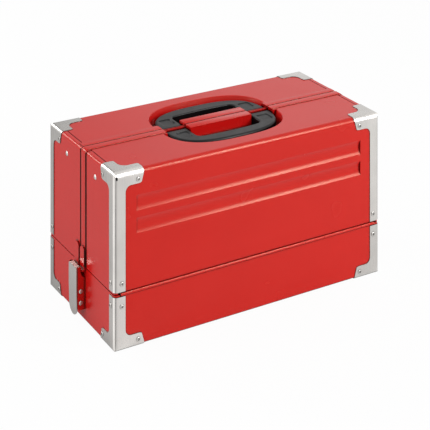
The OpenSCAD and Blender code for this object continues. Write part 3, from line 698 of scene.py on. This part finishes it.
def buildHandle(h, side, back):
    mesh = bmesh.new()
    pivotZ = h["pivot"][1]
    low = pivotZ - h["thick"] / 2
    loops = []
    for inner, outer, squeeze in handleRows(h):
        across = Vector((outer[0] - inner[0], outer[1] - inner[1]))
        length = across.length
        unit = across / length
        loop = []
        for away, high in h["outerSide"]:
            loop.append((outer[0] - unit.x * away, outer[1] - unit.y * away, high))
        fromOuter, fromInner = h["outerSide"][-1][0], h["innerSide"][0][0]
        for k in range(1, h["topSteps"]):
            away = fromOuter + (length - fromOuter - fromInner) * k / h["topSteps"]
            x, y = outer[0] - unit.x * away, outer[1] - unit.y * away
            loop.append((x, y, h["thick"] - panelDepth(h, x, y)))
        for away, high in h["innerSide"]:
            loop.append((inner[0] + unit.x * away, inner[1] + unit.y * away, high))
        ring = []
        for x, y, high in loop:
            z = pivotZ + (low + high - pivotZ) * squeeze
            ring.append(mesh.verts.new((x * mm, back * y * mm, z * mm)))
        loops.append(ring)
    tube(mesh, loops)
    pieceFrom(side + "_handle_moulded", mesh, "black_plastic", side + "_handle", side + "_handle")


buildHandle(handle, "front", -1)
buildHandle(handle, "rear", 1)
print("handles moulded")

# raised strip beside the seam of each lid: low, with soft edges and flanges turned in below it
strip = {
    "seam": 0.9,
    "wide": 12.3,
    "high": 1.1,
    "edge": 0.8,  # radius of the long edges
    "bend": 5.0,
    "endRise": 0.3,  # how far the band stands out on the ends
    "second": {"wide": 2.8, "from": 207.4, "high": 0.3, "bend": 4.3},
    "recess": 88.4,  # the strip begins at the recess for the handles
    "notch": (115.5, 119.5, 1.2),  # from, to, depth: a nick in the front strip's far edge
    "topSpots": (140, 170, 195),  # further rings along the top
    "low": 75.2,
    "rearEnd": 211.6,
    "inside": 0.7,  # how far it goes into the lid sheet
}


# path over the top, round the bend and down the end: x, z, outward x and z, share of the bend
def stripPath(t, start, rise, bend, low):
    edge, top = halfX + t["endRise"], topZ + rise
    spots = [start]
    n0, n1 = t["notch"][:2]
    for x in (n0 - 0.15, n0, n1, n1 + 0.15, *t["topSpots"]):
        if x > start:
            spots.append(x)
    path = [(x, top, 0, 1, 0) for x in spots]
    for k in range(9):
        turn = math.pi / 2 * k / 8
        path.append((edge - bend + bend * math.sin(turn), top - bend + bend * math.cos(turn),
                     math.sin(turn), math.cos(turn), k / 8))
    for k in range(1, 5):
        path.append((edge, top - bend + (low - top + bend) * k / 4, 1, 0, 1))
    return path


# closed section as (distance from the seam, depth under the outer face) pairs
def stripSection(near, far, edgeNear, edgeFar, deep):
    loop = [(near, deep)]
    for k in range(5):
        turn = math.pi / 8 * k
        loop.append((near + edgeNear * (1 - math.cos(turn)), edgeNear * (1 - math.sin(turn))))
    for k in range(5):
        turn = math.pi / 8 * k
        loop.append((far - edgeFar * (1 - math.sin(turn)), edgeFar * (1 - math.cos(turn))))
    return loop + [(far, deep)]


def sweepStrip(mesh, path, section, left, back):
    loops = []
    for x, z, outX, outZ, bent in path:
        ring = []
        for away, deep in section(x, bent):
            ring.append(mesh.verts.new((left * (x - outX * deep) * mm, back * away * mm,
                                        (z - outZ * deep) * mm)))
        loops.append(ring)
    tube(mesh, loops)


# sheet with its corners softened, from low corner to high corner
def softSheet(mesh, low, high, edge=0.2):
    corners = [Vector([c * mm for c in (x, y, z)]) for x in (low[0], high[0])
               for y in (low[1], high[1]) for z in (low[2], high[2])]
    part = bmesh.new()
    verts = [part.verts.new(c) for c in corners]
    for face in ((0, 1, 3, 2), (4, 6, 7, 5), (0, 4, 5, 1),
                 (2, 3, 7, 6), (0, 2, 6, 4), (1, 5, 7, 3)):
        part.faces.new([verts[k] for k in face])
    bmesh.ops.bevel(part, geom=part.edges[:], offset=edge * mm, segments=2, profile=0.5,
                    affect="EDGES")
    scrap = bpy.data.meshes.new("scrap")
    part.to_mesh(scrap)
    part.free()
    mesh.from_mesh(scrap)
    bpy.data.meshes.remove(scrap)


def buildStrip(t, side, back):
    mesh = bmesh.new()
    seam, far = t["seam"], t["seam"] + t["wide"]
    n0, n1, cut = t["notch"]
    full = t["high"] + t["inside"]

    def section(x, bent):
        notched = back < 0 and n0 <= x <= n1 and not bent
        deep = full + (t["endRise"] + 1 - full) * bent
        return stripSection(seam, far - (cut if notched else 0), t["edge"] * (1 - 0.4 * bent),
                            t["edge"] * (1 - 0.95 * bent), deep)

    def secondSection(x, bent):
        deep = 1 + 0.3 * bent
        return stripSection(far, far + t["second"]["wide"], 0.05, 0.2, deep)

    def spanned(x0, x1, y0, y1, z0, z1):
        softSheet(mesh, (x0, min(back * y0, back * y1), z0), (x1, max(back * y0, back * y1), z1))

    for left in (-1, 1):
        if back < 0:
            sweepStrip(mesh, stripPath(t, t["recess"], t["high"], t["bend"], t["low"]), section,
                       left, back)
            second = t["second"]
            secondPath = stripPath(t, second["from"], second["high"], second["bend"], t["low"])
            sweepStrip(mesh, secondPath, secondSection, left, back)
            # backing behind the slot beside the end panel, then the flange down the end
            for x0, x1, y0, y1, z0, z1 in ((213.4, 214.6, 13.0, 23.0, 78, 224),
                                           (210.9, 215.1, seam, seam + 1, t["low"], topZ - 8)):
                spanned(*sorted((left * x0, left * x1)), y0, y1, z0, z1)
        else:
            path = [(x, topZ + t["high"], 0, 1, 0) for x in (t["recess"], 120, 160, t["rearEnd"])]
            sweepStrip(mesh, path, section, left, back)
        # flange turned down at the seam, beside the recess
        spanned(*sorted((left * t["recess"], left * 206.2)), seam, seam + 1, topZ - 9, topZ - 0.1)
    # flange along the recess, plate on the raised block and its flange
    spanned(-94.5, 94.5, seam, seam + 1, 216.6, topZ - 1.2)
    spanned(-51, 51, seam, 16.4, topZ, topZ + 1)
    spanned(-51, 51, seam, seam + 1, topZ - 2, topZ + 0.5)
    pieceFrom(side + "_lid_frame_pressed", mesh, "red_paint", side + "_lid", side + "_lid_frame")


buildStrip(strip, "front", -1)
buildStrip(strip, "rear", 1)
print("seam strips pressed")

# painted shade: a black piece in the holes left open in two of the lid brackets, standing in for
# the shade inside them
holeShade = {
    "place": (212.4, 227.1),
    "half": (1.2, 2.6),
    "rings": ((-0.3, 1), (0.4, 1), (0.55, 0.86)),  # out of the sheet, share of the size
    "sides": 28,
}
for side, back, left in (("front", -1, -1), ("rear", 1, 1)):
    mesh = bmesh.new()
    rings = []
    for out, grow in holeShade["rings"]:
        ring = []
        for k in range(holeShade["sides"]):
            turn = 2 * math.pi * k / holeShade["sides"]
            straight = holeShade["half"][1] - holeShade["half"][0]
            x = holeShade["half"][0] * math.cos(turn)
            z = holeShade["half"][0] * math.sin(turn) + math.copysign(straight, math.sin(turn))
            ring.append(mesh.verts.new(((left * holeShade["place"][0] + x * grow) * mm,
                                        back * (halfY + out) * mm,
                                        (holeShade["place"][1] + z * grow) * mm)))
        rings.append(ring)
    tube(mesh, rings)
    # the black piece is painted shade in the hole
    pieceFrom(side + "_lid_hole_shade", mesh, "black_plastic", side + "_lid")
print("holes shaded")
